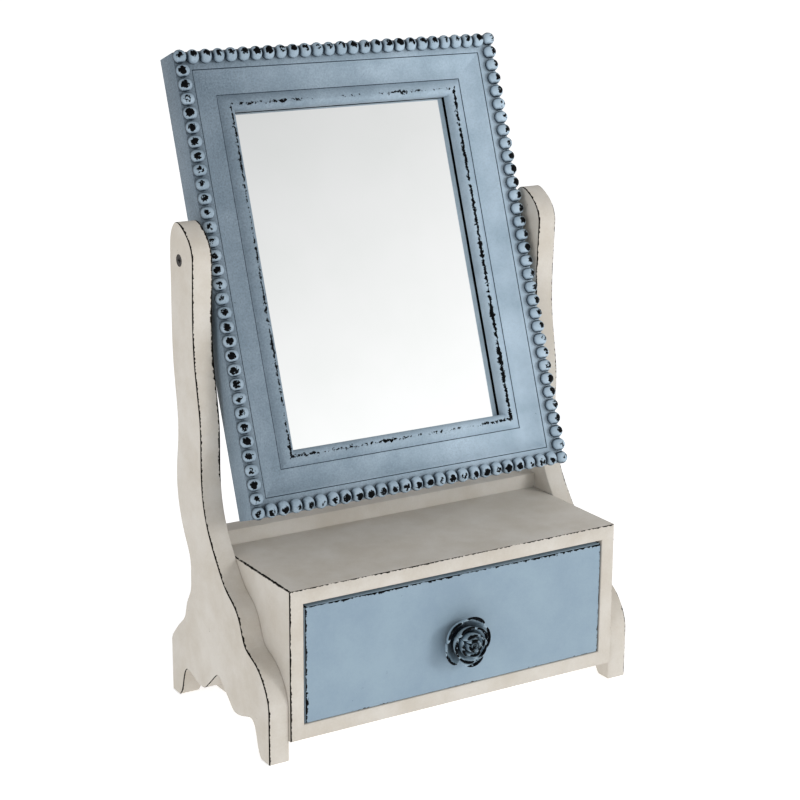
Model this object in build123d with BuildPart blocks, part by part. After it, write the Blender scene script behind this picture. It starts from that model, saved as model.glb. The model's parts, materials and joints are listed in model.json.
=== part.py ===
import os
from math import cos, radians, sin

from build123d import *

os.makedirs("parts", exist_ok=True)

# Drawer case
case_width = 260
case_depth = 113
case_height = 105
case_lift = 13.5
case_board = 10.5
back_panel_thickness = 3
back_panel_lap = 5
pin_radius = 0.7
pin_head_radius = 1.4
pin_head_height = 0.5
panel_pin_length = 12
panel_pin_from_corner = 20
panel_pin_middle = 35
case_screw_length = 20
lower_screw_from_front = 28
upper_screw_from_front = 60
case_screw_from_back = 21
case_screw_from_board = 16

# Back rail on top of the case
rail_height = 10.5
rail_depth = 15
rail_screw_length = 16
rail_screw_from_pin = 14.5

# Side boards, with the scalloped foot and the pivot near the top
side_board_thickness = 15
side_board_set_back = 2
foot_behind_case = 33.5
foot_width = 11
scallop_height = 36.5
neck_width = 33
pivot_behind_case = 6.7
swing_gap = 7.8
crown_rise = 24.7

# Drawer
drawer_top_gap = 2.2
drawer_side_gap = 0.8
drawer_bottom_gap = 0.3
drawer_front_thickness = 10.5
drawer_front_arris = 1.5
drawer_side_thickness = 8
drawer_side_drop = 13.5
drawer_back_gap = 4.5
drawer_bottom_thickness = 3
drawer_groove_depth = 4
drawer_bottom_lift = 6
drawer_groove_clearance = 0.1
drawer_pin_length = 18
drawer_pin_spacing = 34
dowel_radius = 2.5
dowel_depth = 6
dowel_spacing = 36

# Rose knob
knob_radius = 18.7
knob_reach = 21.5
petal_wall = 1.6
bud_radius = 3.2
knob_drop = 5
knob_bolt_radius = 2
knob_bolt_grip = 6
knob_bolt_head_radius = 4
knob_bolt_head_height = 2.5

# Mirror frame, measured square to its own face
mirror_lean = 19.7
frame_side_clearance = 3.7
frame_height = 313.4
frame_drop = 19.5
frame_thickness = 20
frame_face_ahead = 4
moulding_width = 41
quirk_inset = 12.5
quirk_half_width = 0.4
quirk_depth = 1
cove_top_drop = 0.4
cove_bottom_drop = 5
cove_hollow = 2.2
swell_bulge = 0.9
fall_bulge = 0.7
inner_moulding_width = 11.6
crest_from_sight = 3.6
crest_drop = 1.8
sight_drop = 5.4
lip_drop = 10.9
rabbet_width = 6

# Row of beads round the frame
bead_radius = 4.65
bead_inset = 3.6
bead_rise = 2.4
bead_spacing = 9.5

# Glass, backing and the tabs that hold them
glass_thickness = 2
backing_thickness = 3
glass_clearance = 0.5
tab_width = 8
tab_thickness = 0.8
tab_in_frame = 3.5
tab_on_backing = 8
tab_spread = 0.5

# Screws and their fits
screw_radius = 2
screw_head_radius = 4
pivot_screw_length = 32
cross_slot_width = 0.9
cross_slot_depth = 1.4
screw_point_radius = 0.4
screw_end_clearance = 1
running_clearance = 0.05
screw_clearance = 0.05
head_clearance = 0.15
spacer_radius = 3.3
side_gap = 0.3

# Heights and depths that follow from the sizes above
case_top_z = case_lift + case_height
opening_bottom_z = case_lift + case_board
opening_top_z = case_top_z - case_board
opening_half_width = case_width / 2 - case_board
side_board_outer_x = case_width / 2 + side_board_thickness
frame_width = case_width - 2 * frame_side_clearance
frame_side_x = frame_width / 2
lean = radians(mirror_lean)
frame_top_reach = frame_height / 2 - frame_drop
frame_bottom_reach = frame_height / 2 + frame_drop + bead_radius - bead_inset
pivot_depth = case_depth + pivot_behind_case
pivot_height = case_top_z + rail_height + swing_gap + frame_bottom_reach
frame_back = frame_thickness - frame_face_ahead
rearmost = pivot_depth + frame_top_reach * sin(lean) + frame_back * cos(lean)
case_front_y = (knob_reach - rearmost) / 2


# Depths are measured back from the front of the case, and heights up from the floor
def across(x):
    return Plane(origin=(x, case_front_y, 0), x_dir=(0, 1, 0), z_dir=(1, 0, 0))


def facing(depth):
    return Plane(origin=(0, case_front_y + depth, 0), x_dir=(1, 0, 0), z_dir=(0, -1, 0))


def level(z):
    return Plane(origin=(0, case_front_y, z))


def finish(builder, name):
    builder.part.label = name
    export_step(builder.part, f"parts/{name}.step")


# A countersunk wood screw, its head flat on the given plane and its point behind it
def countersunk_screw(head, length):
    head_height = screw_head_radius - screw_radius
    tip = 2 * screw_radius
    with Locations(head):
        Cone(screw_radius, screw_head_radius, head_height, align=(Align.CENTER, Align.CENTER, Align.MAX))
        Cylinder(screw_radius, length - tip, align=(Align.CENTER, Align.CENTER, Align.MAX))
        for arm in (0, 90):
            Box(
                screw_head_radius,
                cross_slot_width,
                2 * cross_slot_depth,
                rotation=(0, 0, arm),
                mode=Mode.SUBTRACT,
            )
    with Locations(head.offset(tip - length)):
        Cone(screw_point_radius, screw_radius, tip, align=(Align.CENTER, Align.CENTER, Align.MAX))


# The hole and countersink for that screw, opening on the given plane
def screw_hole(head, depth, clearance):
    with Locations(head):
        CounterSinkHole(
            screw_radius + clearance,
            screw_head_radius + clearance + head_clearance,
            depth=depth,
            counter_sink_angle=90,
        )


# The pivot's plane on the outer face of a side board, where the head of its screw sits
def pivot_head(side):
    return Plane(
        origin=(side * side_board_outer_x, case_front_y + pivot_depth, pivot_height),
        x_dir=(0, 1, 0),
        z_dir=(side, 0, 0),
    )


# Outline of the side boards
foot_length = case_depth + foot_behind_case - side_board_set_back
scallop_centre = side_board_set_back + foot_length / 2
scallop_half_width = foot_length / 2 - foot_width

# Half of the scallop under the board: shares of its half width and of its height
half_scallop = [
    (1, 0),
    (0.919, 0.219),
    (0.877, 0.466),
    (0.798, 0.641),
    (0.694, 0.63),
    (0.5, 0.532),
    (0.355, 0.537),
    (0.274, 0.641),
    (0.145, 0.833),
    (0, 1),
]


# A point of the shoulder, by its shares of the foot's length and of the height of the case top
def shoulder(along, up):
    return (side_board_set_back + along * foot_length, up * case_top_z)


# A point of the neck, by its share of the neck's width behind the pivot and of its height
def neck(behind, up):
    return (pivot_depth + behind * neck_width, case_top_z + up * (pivot_height - case_top_z))


# A point of the crown, above the pivot
def top(behind, up):
    return (pivot_depth + behind * neck_width, pivot_height + up * crown_rise)


front_edge = [
    shoulder(0, 0.3),
    shoulder(0.0055, 0.355),
    shoulder(0.0374, 0.44),
    shoulder(0.1384, 0.551),
    shoulder(0.2215, 0.6),
    shoulder(0.2657, 0.703),
    shoulder(0.3149, 0.79),
    shoulder(0.3945, 0.854),
    shoulder(0.481, 0.968),
    neck(-1.103, 0.067),
    neck(-0.855, 0.165),
    neck(-0.77, 0.29),
    neck(-0.773, 0.455),
    neck(-0.655, 0.575),
    neck(-0.558, 0.68),
    neck(-0.552, 0.9),
    neck(-0.582, 1),
]
crown = [
    front_edge[-1],
    top(-0.497, 0.49),
    top(-0.194, 0.87),
    top(0.152, 1),
    top(0.342, 0.75),
    top(0.412, 0.4),
    neck(0.424, 1),
]
rear_edge = [
    crown[-1],
    neck(0.427, 0.84),
    neck(0.394, 0.625),
    neck(0.285, 0.495),
    neck(0.255, 0.38),
    neck(0.349, 0.27),
    neck(0.364, 0.2),
    neck(0.255, 0.1),
    neck(0.03, 0.015),
    shoulder(0.7744, 0.91),
    shoulder(0.7702, 0.8),
    shoulder(0.7772, 0.72),
    shoulder(0.8235, 0.62),
    shoulder(0.8478, 0.53),
    shoulder(0.91, 0.455),
    shoulder(0.9682, 0.385),
    shoulder(0.9945, 0.345),
    shoulder(1, 0.3),
]


def side_board(side):
    front_half = [
        (scallop_centre - across_share * scallop_half_width, up * scallop_height)
        for across_share, up in half_scallop
    ]
    rear_half = [(2 * scallop_centre - depth, z) for depth, z in reversed(front_half[:-1])]
    scallop = front_half + rear_half
    front_bottom = (side_board_set_back, 0)
    rear_bottom = (side_board_set_back + foot_length, 0)
    with BuildPart() as board:
        with BuildSketch(across(side * side_board_outer_x)):
            with BuildLine():
                Line(front_bottom, front_edge[0])
                Spline(*front_edge)
                Spline(*crown)
                Spline(*rear_edge)
                Line(rear_edge[-1], rear_bottom)
                Line(rear_bottom, scallop[-1])
                Spline(*scallop)
                Line(scallop[0], front_bottom)
            make_face()
        extrude(amount=-side * side_board_thickness)
        screw_hole(pivot_head(side), side_board_thickness, running_clearance)
    return board


left_board = side_board(-1)
right_board = side_board(1)


# Places of the screws that go from inside the case into the side boards
def case_screw_heads(side):
    inner_x = side * opening_half_width
    lower_z = opening_bottom_z + case_screw_from_board
    upper_z = opening_top_z - case_screw_from_board
    rear_depth = case_depth - case_screw_from_back
    spots = [
        (lower_screw_from_front, lower_z),
        (rear_depth, lower_z),
        (upper_screw_from_front, upper_z),
        (rear_depth, upper_z),
    ]
    return [
        Plane(origin=(inner_x, case_front_y + depth, z), x_dir=(0, 1, 0), z_dir=(-side, 0, 0))
        for depth, z in spots
    ]


for board, side in ((left_board, -1), (right_board, 1)):
    with board:
        for head in case_screw_heads(side):
            screw_hole(head, case_screw_length, screw_clearance)

finish(left_board, "left_side_board")
finish(right_board, "right_side_board")

# Case boards, mitred at the corners and rabbeted behind for the back panel
case_centre = Plane(origin=(0, case_front_y + case_depth / 2, case_lift + case_height / 2))
panel_half_width = opening_half_width + back_panel_lap
panel_bottom_z = opening_bottom_z - back_panel_lap
panel_top_z = opening_top_z + back_panel_lap
pin_row_end = panel_half_width - panel_pin_from_corner
rail_screw_spacing = pin_row_end - rail_screw_from_pin
rail_screw_heads = [
    Plane(
        origin=(x, case_front_y + case_depth - rail_depth / 2, opening_top_z),
        z_dir=(0, 0, -1),
    )
    for x in (-rail_screw_spacing, 0, rail_screw_spacing)
]


# Places of the panel pins, along all four edges of the back panel
def panel_pin_places():
    places = []
    for x in (-pin_row_end, -panel_pin_middle, panel_pin_middle, pin_row_end):
        for z in (panel_bottom_z + back_panel_lap / 2, panel_top_z - back_panel_lap / 2):
            places.append((x, z))
    middle_z = (panel_bottom_z + panel_top_z) / 2
    for x in (-1, 1):
        places.append((x * (panel_half_width - back_panel_lap / 2), middle_z))
    return places


def cut_pin_holes():
    with BuildSketch(facing(case_depth)) as holes:
        with Locations(*panel_pin_places()):
            Circle(pin_radius + screw_clearance)
    extrude(holes.sketch, amount=panel_pin_length, mode=Mode.SUBTRACT)


# One board of the case: `turn` is 0 for the right side, 90 for the top, and so on round
def case_board_part(turn, reach, length):
    placed = Plane(case_centre.location * Rotation(0, -turn, 0))
    mitre_corner = length / 2
    with BuildPart() as board:
        with BuildSketch(placed):
            with Locations((reach - case_board / 2, 0)):
                Rectangle(case_board, case_depth)
            rabbet_depth = (case_depth - back_panel_thickness) / 2
            with Locations((reach - case_board + back_panel_lap / 2, rabbet_depth)):
                Rectangle(back_panel_lap, back_panel_thickness, mode=Mode.SUBTRACT)
        extrude(amount=mitre_corner, both=True)
        for end in (-1, 1):
            corner = placed.from_local_coords((reach, 0, end * mitre_corner))
            inward = placed.z_dir * -end + placed.x_dir
            split(bisect_by=Plane(origin=corner, z_dir=inward), keep=Keep.TOP)
        cut_pin_holes()
    return board


case_right = case_board_part(0, case_width / 2, case_height)
case_top = case_board_part(90, case_height / 2, case_width)
case_left = case_board_part(180, case_width / 2, case_height)
case_bottom = case_board_part(270, case_height / 2, case_width)
with case_right:
    for head in case_screw_heads(1):
        screw_hole(head, case_screw_length, screw_clearance)
with case_left:
    for head in case_screw_heads(-1):
        screw_hole(head, case_screw_length, screw_clearance)
with case_top:
    for head in rail_screw_heads:
        screw_hole(head, rail_screw_length, screw_clearance)
finish(case_right, "case_right_board")
finish(case_top, "case_top_board")
finish(case_left, "case_left_board")
finish(case_bottom, "case_bottom_board")

# Back panel in its rabbet, and its pins
with BuildPart() as back_panel:
    with BuildSketch(facing(case_depth)):
        with Locations((0, (panel_bottom_z + panel_top_z) / 2)):
            Rectangle(2 * panel_half_width, panel_top_z - panel_bottom_z)
    extrude(amount=back_panel_thickness)
    cut_pin_holes()
finish(back_panel, "case_back_panel")

with BuildPart() as panel_pins:
    with BuildSketch(facing(case_depth)):
        with Locations(*panel_pin_places()):
            Circle(pin_radius)
    extrude(amount=panel_pin_length)
    with BuildSketch(facing(case_depth)):
        with Locations(*panel_pin_places()):
            Circle(pin_head_radius)
    extrude(amount=-pin_head_height)
finish(panel_pins, "back_panel_pins")

# Screws from inside the case into the side boards
with BuildPart() as case_screws:
    for side in (-1, 1):
        for head in case_screw_heads(side):
            countersunk_screw(head.offset(-head_clearance), case_screw_length - screw_end_clearance)
finish(case_screws, "case_screws")

# Rail standing on the rear of the case top, between the side boards
with BuildPart() as rail:
    with BuildSketch(level(case_top_z)):
        with Locations((0, case_depth - rail_depth / 2)):
            Rectangle(case_width, rail_depth)
    extrude(amount=rail_height)
    for head in rail_screw_heads:
        screw_hole(head, rail_screw_length, screw_clearance)
finish(rail, "back_rail")

with BuildPart() as rail_screws:
    for head in rail_screw_heads:
        countersunk_screw(head.offset(-head_clearance), rail_screw_length - screw_end_clearance)
finish(rail_screws, "rail_screws")

# Drawer, running on the bottom board of the case
drawer_half_width = opening_half_width - drawer_side_gap
drawer_bottom_z = opening_bottom_z + drawer_bottom_gap
drawer_top_z = opening_top_z - drawer_top_gap
drawer_back_depth = case_depth - back_panel_thickness - drawer_back_gap
drawer_box_length = drawer_back_depth - drawer_front_thickness
drawer_side_height = drawer_top_z - drawer_side_drop - drawer_bottom_z
knob_height = (drawer_bottom_z + drawer_top_z) / 2 - knob_drop
drawer_middle_z = drawer_bottom_z + drawer_side_height / 2
drawer_panel_z = drawer_bottom_z + drawer_bottom_lift
drawer_panel_half_width = drawer_half_width - drawer_side_thickness + drawer_groove_depth
drawer_panel_clear = drawer_panel_half_width - drawer_groove_clearance
drawer_groove_front = drawer_front_thickness - drawer_groove_depth
drawer_wall_x = drawer_half_width - drawer_side_thickness / 2


def cut_bottom_groove():
    with BuildSketch(level(drawer_panel_z - drawer_groove_clearance)) as groove:
        with Locations((0, (drawer_groove_front + drawer_back_depth) / 2)):
            Rectangle(2 * drawer_panel_half_width, drawer_back_depth - drawer_groove_front)
    groove_height = drawer_bottom_thickness + 2 * drawer_groove_clearance
    extrude(groove.sketch, amount=groove_height, mode=Mode.SUBTRACT)


# The wooden dowels that join the sides to the front, `grown` by the clearance when cut
def dowels(grown, mode):
    with BuildSketch(facing(drawer_front_thickness - dowel_depth)) as ends:
        for side in (-1, 1):
            with Locations((side * drawer_wall_x, drawer_middle_z)):
                with GridLocations(0, dowel_spacing, 1, 2):
                    Circle(dowel_radius + grown)
    extrude(ends.sketch, amount=-2 * dowel_depth, mode=mode)


# The pins through the sides into the ends of the drawer back
def side_pins(grown, mode):
    for side in (-1, 1):
        with BuildSketch(across(side * drawer_half_width)) as ends:
            with Locations((drawer_back_depth - drawer_side_thickness / 2, drawer_middle_z)):
                with GridLocations(0, drawer_pin_spacing, 1, 2):
                    Circle(pin_radius + grown)
        extrude(ends.sketch, amount=-side * drawer_pin_length, mode=mode)


with BuildPart() as drawer_front:
    with BuildSketch(facing(0)):
        with Locations((0, (drawer_bottom_z + drawer_top_z) / 2)):
            Rectangle(2 * drawer_half_width, drawer_top_z - drawer_bottom_z)
    extrude(amount=-drawer_front_thickness)
    fillet(drawer_front.faces().sort_by(Axis.Y)[0].edges(), drawer_front_arris)
    cut_bottom_groove()
    dowels(screw_clearance, Mode.SUBTRACT)
    with Locations(Plane(origin=(0, case_front_y + drawer_front_thickness, knob_height), z_dir=(0, 1, 0))):
        Hole(knob_bolt_radius + screw_clearance, depth=drawer_front_thickness)
finish(drawer_front, "drawer_front")

for side, side_name in ((-1, "left"), (1, "right")):
    with BuildPart() as drawer_side:
        with BuildSketch(across(side * drawer_half_width)):
            with Locations((drawer_front_thickness + drawer_box_length / 2, drawer_middle_z)):
                Rectangle(drawer_box_length, drawer_side_height)
        extrude(amount=-side * drawer_side_thickness)
        cut_bottom_groove()
        dowels(screw_clearance, Mode.SUBTRACT)
        side_pins(screw_clearance, Mode.SUBTRACT)
    finish(drawer_side, f"drawer_{side_name}_side")

with BuildPart() as drawer_back:
    back_bottom_z = drawer_panel_z + drawer_bottom_thickness + drawer_groove_clearance
    with BuildSketch(facing(drawer_back_depth)):
        with Locations((0, (back_bottom_z + drawer_bottom_z + drawer_side_height) / 2)):
            Rectangle(
                2 * (drawer_half_width - drawer_side_thickness),
                drawer_bottom_z + drawer_side_height - back_bottom_z,
            )
    extrude(amount=drawer_side_thickness)
    side_pins(screw_clearance, Mode.SUBTRACT)
finish(drawer_back, "drawer_back")

with BuildPart() as drawer_bottom:
    with BuildSketch(level(drawer_panel_z)):
        front_end = drawer_groove_front + drawer_groove_clearance
        with Locations((0, (front_end + drawer_back_depth) / 2)):
            Rectangle(2 * drawer_panel_clear, drawer_back_depth - front_end)
    extrude(amount=drawer_bottom_thickness)
finish(drawer_bottom, "drawer_bottom")

with BuildPart() as drawer_dowels:
    dowels(0, Mode.ADD)
finish(drawer_dowels, "drawer_dowels")

with BuildPart() as drawer_pins:
    side_pins(0, Mode.ADD)
finish(drawer_pins, "drawer_pins")

# Rose knob: a round core with rings of cupped petals, on a plane whose normal points at the user
knob_face = Plane(origin=(0, case_front_y, knob_height), x_dir=(1, 0, 0), z_dir=(0, -1, 0))
knob_seat = Plane(origin=knob_face.origin, z_dir=(0, 1, 0))


# A cupped petal, from its root to its tip, each given as a distance from the axis and a height
def petal(root, tip, width, cup):
    foot = Vector(root[0], 0, root[1])
    run = Vector(tip[0], 0, tip[1]) - foot
    aside = Vector(0, 1, 0)
    section = Plane(origin=foot, x_dir=aside, z_dir=run)
    face = Plane(origin=foot, x_dir=aside, z_dir=aside.cross(run))
    half = width / 2
    with BuildPart() as cupped:
        with BuildSketch(section) as strip:
            with BuildLine():
                outside = ThreePointArc((-half, cup), (0, 0), (half, cup))
                Line(outside @ 1, (half, cup + petal_wall))
                inside = ThreePointArc((half, cup + petal_wall), (0, petal_wall), (-half, cup + petal_wall))
                Line(inside @ 1, outside @ 0)
            make_face()
        extrude(strip.sketch, amount=run.length)
        with BuildSketch(face) as outline:
            with Locations((0, run.length / 2)):
                Ellipse(half, run.length / 2)
        extrude(outline.sketch, amount=width, both=True, mode=Mode.INTERSECT)
    return cupped.part


# Rings of petals, from the outside in: how many, and their turn about the axis. Roots, tips, widths
# and cups are shares of the rose's radius and, where they are heights, of its reach
petal_rings = [
    {"count": 5, "turn": 0, "root": (0.32, 0.07), "tip": (1, 0.51), "width": 1.12, "cup": 0.27},
    {"count": 5, "turn": 36, "root": (0.27, 0.28), "tip": (0.67, 0.79), "width": 0.8, "cup": 0.21},
    {"count": 3, "turn": 14, "root": (0.18, 0.5), "tip": (0.4, 0.95), "width": 0.53, "cup": 0.16},
]


# A point of the rose, by its shares of the radius and of the reach
def in_rose(out, up):
    return (out * knob_radius, up * knob_reach)


# Half section of the rose's core: its seat, the calyx above it and the waist under the bud
core_top = (knob_reach - bud_radius) / knob_reach
core_points = [in_rose(0.43, 0), in_rose(0.56, -0.256), in_rose(0.455, -0.558), in_rose(0.214, -core_top)]
with BuildPart() as rose:
    with BuildSketch(Plane(knob_face.origin, x_dir=(1, 0, 0), z_dir=(0, 0, 1))) as core:
        with BuildLine():
            seat = Line((0, 0), core_points[0])
            calyx = ThreePointArc(*core_points[:3])
            waist = Line(calyx @ 1, core_points[3])
            top_line = Line(waist @ 1, in_rose(0, -core_top))
            Line(top_line @ 1, seat @ 0)
        make_face()
    revolve(core.sketch, axis=Axis(knob_face.origin, knob_face.z_dir))
    with Locations(knob_face.offset(knob_reach - bud_radius)):
        Sphere(bud_radius)
    for ring in petal_rings:
        shape = petal(
            in_rose(*ring["root"]),
            in_rose(*ring["tip"]),
            ring["width"] * knob_radius,
            ring["cup"] * knob_radius,
        )
        with Locations(knob_face):
            with PolarLocations(0, ring["count"], start_angle=ring["turn"]):
                add(shape)
    with Locations(knob_seat):
        Hole(knob_bolt_radius + screw_clearance, depth=knob_bolt_grip + screw_clearance)
finish(rose, "rose_knob")

# Bolt from inside the drawer front into the rose
with BuildPart() as knob_bolt:
    with BuildSketch(facing(drawer_front_thickness)):
        with Locations((0, knob_height)):
            Circle(knob_bolt_radius)
    extrude(amount=drawer_front_thickness + knob_bolt_grip)
    with BuildSketch(facing(drawer_front_thickness)):
        with Locations((0, knob_height)):
            Circle(knob_bolt_head_radius)
    extrude(amount=-knob_bolt_head_height)
    slot_depth = case_front_y + drawer_front_thickness + knob_bolt_head_height
    with Locations((0, slot_depth, knob_height)):
        for arm in (0, 90):
            Box(
                knob_bolt_head_radius,
                2 * cross_slot_depth,
                cross_slot_width,
                rotation=(0, arm, 0),
                mode=Mode.SUBTRACT,
            )
finish(knob_bolt, "knob_bolt")

# Mirror frame: four mitred lengths of one moulding, leaning back on the pivot.
# On this plane x runs across the frame, y up it and z out of its face
mirror_plane = Plane(
    origin=(0, case_front_y + pivot_depth, pivot_height),
    x_dir=(1, 0, 0),
    z_dir=(0, -cos(lean), sin(lean)),
)
frame_centre = Plane(mirror_plane.location * Pos(0, -frame_drop, frame_face_ahead))
glass_width = frame_width - 2 * moulding_width + 2 * rabbet_width
glass_height = frame_height - 2 * moulding_width + 2 * rabbet_width
backing_face_drop = lip_drop + glass_thickness + backing_thickness


# Section of the moulding: across it from the outer side, and down from its flat outer border
def moulding_section():
    cove_end = moulding_width - inner_moulding_width
    crest = moulding_width - crest_from_sight
    cove_start = quirk_inset + quirk_half_width
    with BuildLine() as path:
        border = Line((0, 0), (quirk_inset - quirk_half_width, 0))
        quirk = Polyline(border @ 1, (quirk_inset, -quirk_depth), (cove_start, -cove_top_drop))
        cove = SagittaArc(quirk @ 1, (cove_end, -cove_bottom_drop), -cove_hollow)
        step = Line(cove @ 1, (cove_end + quirk_half_width, -cove_bottom_drop - quirk_half_width))
        swell = SagittaArc(step @ 1, (crest, -crest_drop), swell_bulge)
        fall = SagittaArc(swell @ 1, (moulding_width, -sight_drop), fall_bulge)
        Polyline(
            fall @ 1,
            (moulding_width, -lip_drop),
            (moulding_width - rabbet_width, -lip_drop),
            (moulding_width - rabbet_width, -frame_thickness),
            (0, -frame_thickness),
            (0, 0),
        )
    return path.line


# One length of the frame: `turn` is 0 for the right stile, 90 for the top rail, and so on round
def frame_member(turn, reach, length):
    placed = Plane(frame_centre.location * Rotation(0, 0, turn))
    section_origin = placed.from_local_coords((reach, 0, 0))
    section = Plane(origin=section_origin, x_dir=placed.x_dir * -1, z_dir=placed.y_dir)
    bead_run = length - 2 * bead_inset
    steps = round(bead_run / bead_spacing)
    with BuildPart() as member:
        with BuildSketch(section) as outline:
            make_face(moulding_section().edges())
        extrude(outline.sketch, amount=length / 2, both=True)
        bead_places = []
        for i in range(steps + 1):
            along = bead_run * (i / steps - 0.5)
            bead_places.append(placed.from_local_coords((reach - bead_inset, along, bead_rise)))
        with Locations(*bead_places):
            Sphere(bead_radius)
        for end in (-1, 1):
            corner = placed.from_local_coords((reach, end * length / 2, 0))
            inward = placed.x_dir + placed.y_dir * -end
            split(bisect_by=Plane(origin=corner, z_dir=inward), keep=Keep.TOP)
    return member


# The tabs: two to each side, half in a slit of the frame and half over the backing board
def tab_places(turn, reach, length):
    placed = Plane(frame_centre.location * Rotation(0, 0, turn))
    wall = reach - moulding_width + rabbet_width
    apart = (length - 2 * moulding_width) * tab_spread
    return [
        placed.from_local_coords((wall, along, -backing_face_drop)) for along in (-apart / 2, apart / 2)
    ], placed


def tab_blocks(turn, reach, length, grown, mode):
    places, placed = tab_places(turn, reach, length)
    for place in places:
        middle = Plane(origin=place, x_dir=placed.x_dir, z_dir=placed.z_dir)
        lower = middle.offset(grown)
        with Locations(lower):
            with Locations(((tab_in_frame - tab_on_backing) / 2, 0)):
                Box(
                    tab_in_frame + tab_on_backing + 2 * grown,
                    tab_width + 2 * grown,
                    tab_thickness + 2 * grown,
                    align=(Align.CENTER, Align.CENTER, Align.MAX),
                    mode=mode,
                )


frame_members = [
    ("frame_right_stile", 0, frame_width / 2, frame_height),
    ("frame_top_rail", 90, frame_height / 2, frame_width),
    ("frame_left_stile", 180, frame_width / 2, frame_height),
    ("frame_bottom_rail", 270, frame_height / 2, frame_width),
]
for name, turn, reach, length in frame_members:
    member = frame_member(turn, reach, length)
    with member:
        tab_blocks(turn, reach, length, screw_clearance, Mode.SUBTRACT)
        if turn in (0, 180):
            side = 1 if turn == 0 else -1
            screw_hole(pivot_head(side), pivot_screw_length, screw_clearance)
    finish(member, name)

with BuildPart() as backing_tabs:
    for name, turn, reach, length in frame_members:
        tab_blocks(turn, reach, length, 0, Mode.ADD)
finish(backing_tabs, "backing_tabs")

with BuildPart() as glass:
    with BuildSketch(frame_centre.offset(-lip_drop)):
        Rectangle(glass_width - 2 * glass_clearance, glass_height - 2 * glass_clearance)
    extrude(amount=-glass_thickness)
finish(glass, "mirror_glass")

with BuildPart() as backing:
    with BuildSketch(frame_centre.offset(-lip_drop - glass_thickness)):
        Rectangle(glass_width - 2 * glass_clearance, glass_height - 2 * glass_clearance)
    extrude(amount=-backing_thickness)
finish(backing, "mirror_backing_board")

# Spacer between each board and the frame, on the screw
spacer_length = case_width / 2 - frame_side_x - side_gap
for side, side_name in ((-1, "left"), (1, "right")):
    with BuildPart() as pivot_screw:
        screw_length = pivot_screw_length - screw_end_clearance
        countersunk_screw(pivot_head(side).offset(-head_clearance), screw_length)
    finish(pivot_screw, f"{side_name}_pivot_screw")
    frame_side = pivot_head(side).offset(frame_side_x - side_board_outer_x)
    with BuildPart() as spacer:
        with BuildSketch(frame_side):
            Circle(spacer_radius)
            Circle(screw_radius + screw_clearance, mode=Mode.SUBTRACT)
        extrude(amount=spacer_length)
    finish(spacer, f"{side_name}_pivot_spacer")
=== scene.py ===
import json
import random
from collections import namedtuple
from math import cos, pi, radians, sin, sqrt

import bpy
from mathutils import Matrix, Vector


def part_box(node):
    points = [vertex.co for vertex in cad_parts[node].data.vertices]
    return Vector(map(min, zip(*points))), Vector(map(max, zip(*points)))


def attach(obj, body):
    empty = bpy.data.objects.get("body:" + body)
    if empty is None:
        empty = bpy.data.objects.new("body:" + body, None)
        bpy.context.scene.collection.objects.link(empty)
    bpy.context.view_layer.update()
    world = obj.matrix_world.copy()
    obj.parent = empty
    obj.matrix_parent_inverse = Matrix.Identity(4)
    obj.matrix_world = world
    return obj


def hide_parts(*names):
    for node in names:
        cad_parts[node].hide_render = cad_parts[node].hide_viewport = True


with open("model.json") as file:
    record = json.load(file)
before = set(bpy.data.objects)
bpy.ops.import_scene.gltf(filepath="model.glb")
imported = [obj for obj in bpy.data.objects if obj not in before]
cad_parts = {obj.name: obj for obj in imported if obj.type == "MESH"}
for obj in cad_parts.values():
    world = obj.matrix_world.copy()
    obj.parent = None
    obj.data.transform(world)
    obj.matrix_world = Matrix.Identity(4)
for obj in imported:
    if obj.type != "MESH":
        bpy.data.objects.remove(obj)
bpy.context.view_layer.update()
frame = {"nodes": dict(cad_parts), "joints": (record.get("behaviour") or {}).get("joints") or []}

# Lengths below are in millimetres, and are turned into metres by this
MM = 0.001

# The mirror: its outer size, its middle's drop below the pivots, its face's lead on them, and its lean
FRAME_WIDTH = 252.6
FRAME_HEIGHT = 313.4
FRAME_THICKNESS = 20
FRAME_DROP = 19.5
FACE_AHEAD_OF_PIVOT = 4
MIRROR_LEAN = radians(19.7)

# The frame's moulding, seen in section: distances in from its outer side, and drops below its border
MOULDING_WIDTH = 41
QUIRK_INSET = 12.5
QUIRK_HALF_WIDTH = 0.4
QUIRK_DEPTH = 1
COVE_TOP_DROP = 0.4
COVE_END = 29.4
COVE_BOTTOM_DROP = 5
COVE_HOLLOW = 2.2
CREST = 37.4
CREST_DROP = 1.8
SWELL_BULGE = 0.9
FALL_BULGE = 0.7
SIGHT_DROP = 5.4
LIP_DROP = 10.9
RABBET_WIDTH = 6
MOULDING_ARRIS = 0.28

# How far each member is rubbed through along its crest, and how far the wear reaches from there. On the
# rails it lies a little outside the crest
CREST_RUB = {
    "frame_top_rail": 0.54,
    "frame_left_stile": 0.6,
    "frame_bottom_rail": 0.57,
    "frame_right_stile": 0.8,
}
CREST_RUB_WIDTH = 3
CREST_RUB_DEPTH = 6
RAIL_RUB_SHIFT = 0.8
# The value of "rubbed" that paints the rabbet behind the lip black, as painted shade in the gap round the
# glass
RABBET_PAINTED_SHADE = 2

# The beads along its border, no two quite alike, and the lean of the place where they are rubbed most
BEAD_HALF_LENGTH = 4.75
BEAD_HALF_WIDTH = 5.2
BEAD_HALF_HEIGHT = 4.6
BEAD_INSET = 4.15
BEAD_RISE = 2.35
BEAD_SPACING = 9.5
BEAD_ROW_INSET = 3.6
BEAD_UNEVEN = (0.95, 0.99)
BEAD_WEAR = (0.62, 0.82)
CORNER_BEAD_WEAR = (0.5, 0.62)
BEAD_RUB_LEAN = radians(20)

# The silvering, as deep behind the lip as it looks through the glass
SILVER_BEHIND_LIP = 1.4
GLASS_SHOWN_THICKNESS = 1.2
GLASS_CLEARANCE = 0.5
GLASS_ARRIS = 0.3

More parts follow.
